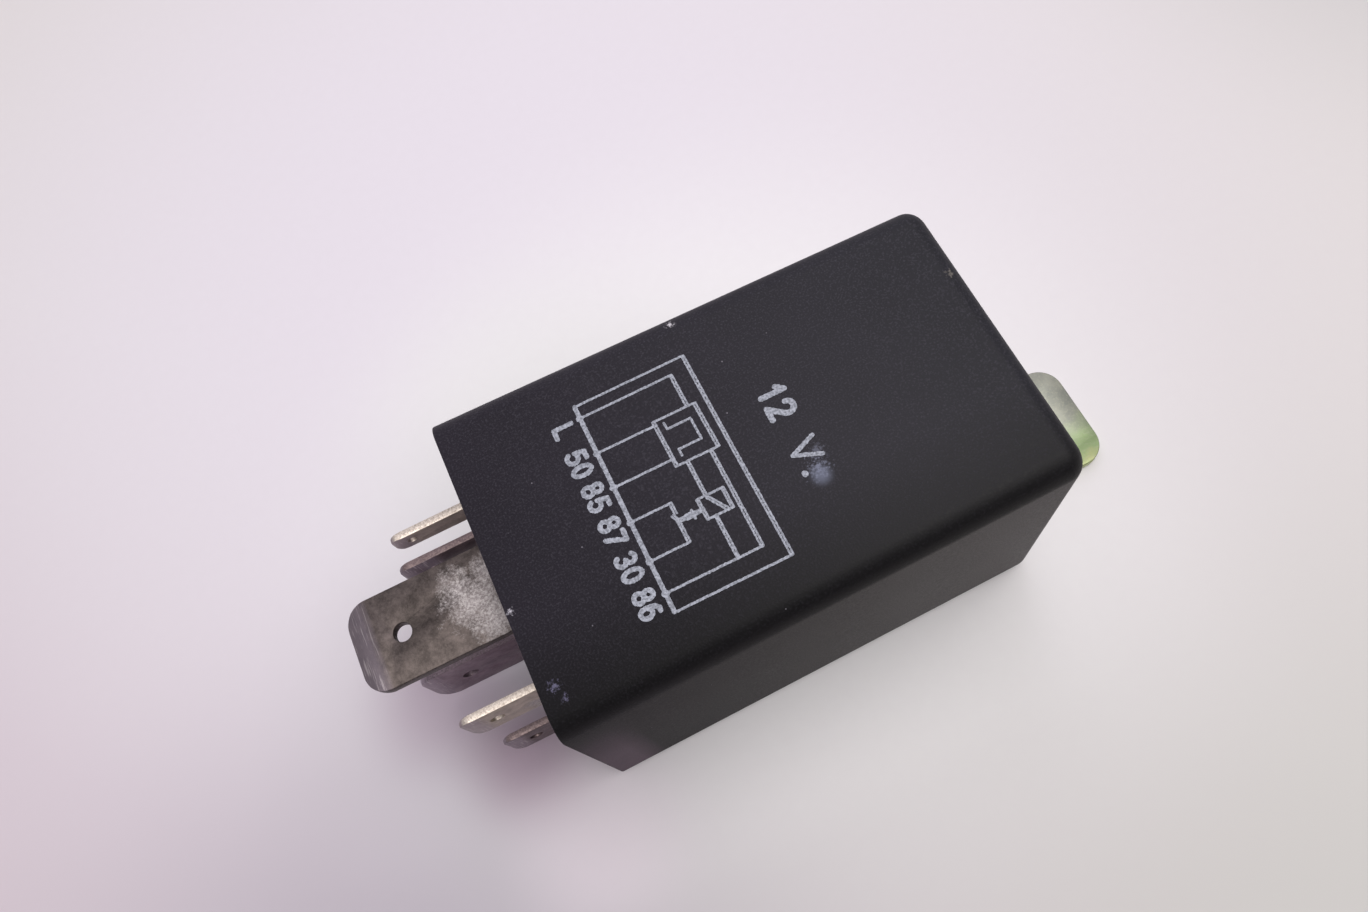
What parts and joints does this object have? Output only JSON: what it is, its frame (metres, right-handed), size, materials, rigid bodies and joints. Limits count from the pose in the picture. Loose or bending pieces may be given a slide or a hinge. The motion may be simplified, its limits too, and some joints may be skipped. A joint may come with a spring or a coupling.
{
  "type": "automotive timer relay",
  "caption": "Plug-in automotive timer relay: black moulded case, flat blade terminals, hinged-armature magnet and timer board inside, metal mounting bracket.",
  "frame": {"origin": "middle of the whole relay's footprint, blades and bracket included, on the plane of the case's flat back", "axes": "+X from the blades to the closed end and its bracket; +Y across the case; +Z out of the printed face"},
  "size_m": [0.085, 0.0344, 0.034],
  "materials": {
    "cover_plastic": "matte",
    "base_plastic": "matte",
    "blade_brass": "satin",
    "light_blade_brass": "satin",
    "board_laminate": "satin",
    "magnet_iron": "satin",
    "bobbin_plastic": "satin",
    "winding_copper": "gloss",
    "pin_tin": "satin",
    "spring_bronze": "satin",
    "rivet_steel": "satin",
    "contact_silver": "satin",
    "spring_steel": "satin",
    "braid_copper": "matte",
    "chip_epoxy": "matte",
    "can_aluminium": "gloss",
    "transistor_epoxy": "matte",
    "diode_epoxy": "satin",
    "resistor_lacquer": "satin",
    "bracket_steel": "satin",
    "bracket_rivet_steel": "satin"
  },
  "bodies": {
    "housing": {"cover": "cover_plastic", "base_plate": "base_plastic", "blade_87": "blade_brass", "blade_30": "blade_brass", "blade_86": "light_blade_brass", "blade_85": "light_blade_brass", "blade_50": "light_blade_brass", "blade_lamp": "light_blade_brass", "circuit_board": "board_laminate", "yoke": "magnet_iron", "core": "magnet_iron", "bobbin": "bobbin_plastic", "coil_winding": "winding_copper", "coil_pins": "pin_tin", "fixed_contact": "contact_silver", "return_spring": "spring_steel", "copper_braid": "braid_copper", "timer_chip": "chip_epoxy", "timing_capacitor": "can_aluminium", "supply_capacitor": "can_aluminium", "transistor": "transistor_epoxy", "diode": "diode_epoxy", "resistors": "resistor_lacquer", "mounting_bracket": "bracket_steel", "bracket_rivet": "bracket_rivet_steel", "rivet_washer": "rivet_steel"},
    "armature": {"armature": "magnet_iron", "contact_arm": "spring_bronze", "arm_rivets": "rivet_steel", "moving_contact": "contact_silver"}
  },
  "joints": [
    {"name": "armature_hinge", "type": "hinge", "parent": "housing", "child": "armature", "pos_m": [0.0161, 0, 0.007], "axis": [0, -1, 0], "range_deg": [0, 4.4], "stiffness_Nm_per_rad": 0.04, "springref_deg": -17.19, "deforming": ["return_spring", "copper_braid"]}
  ]
}
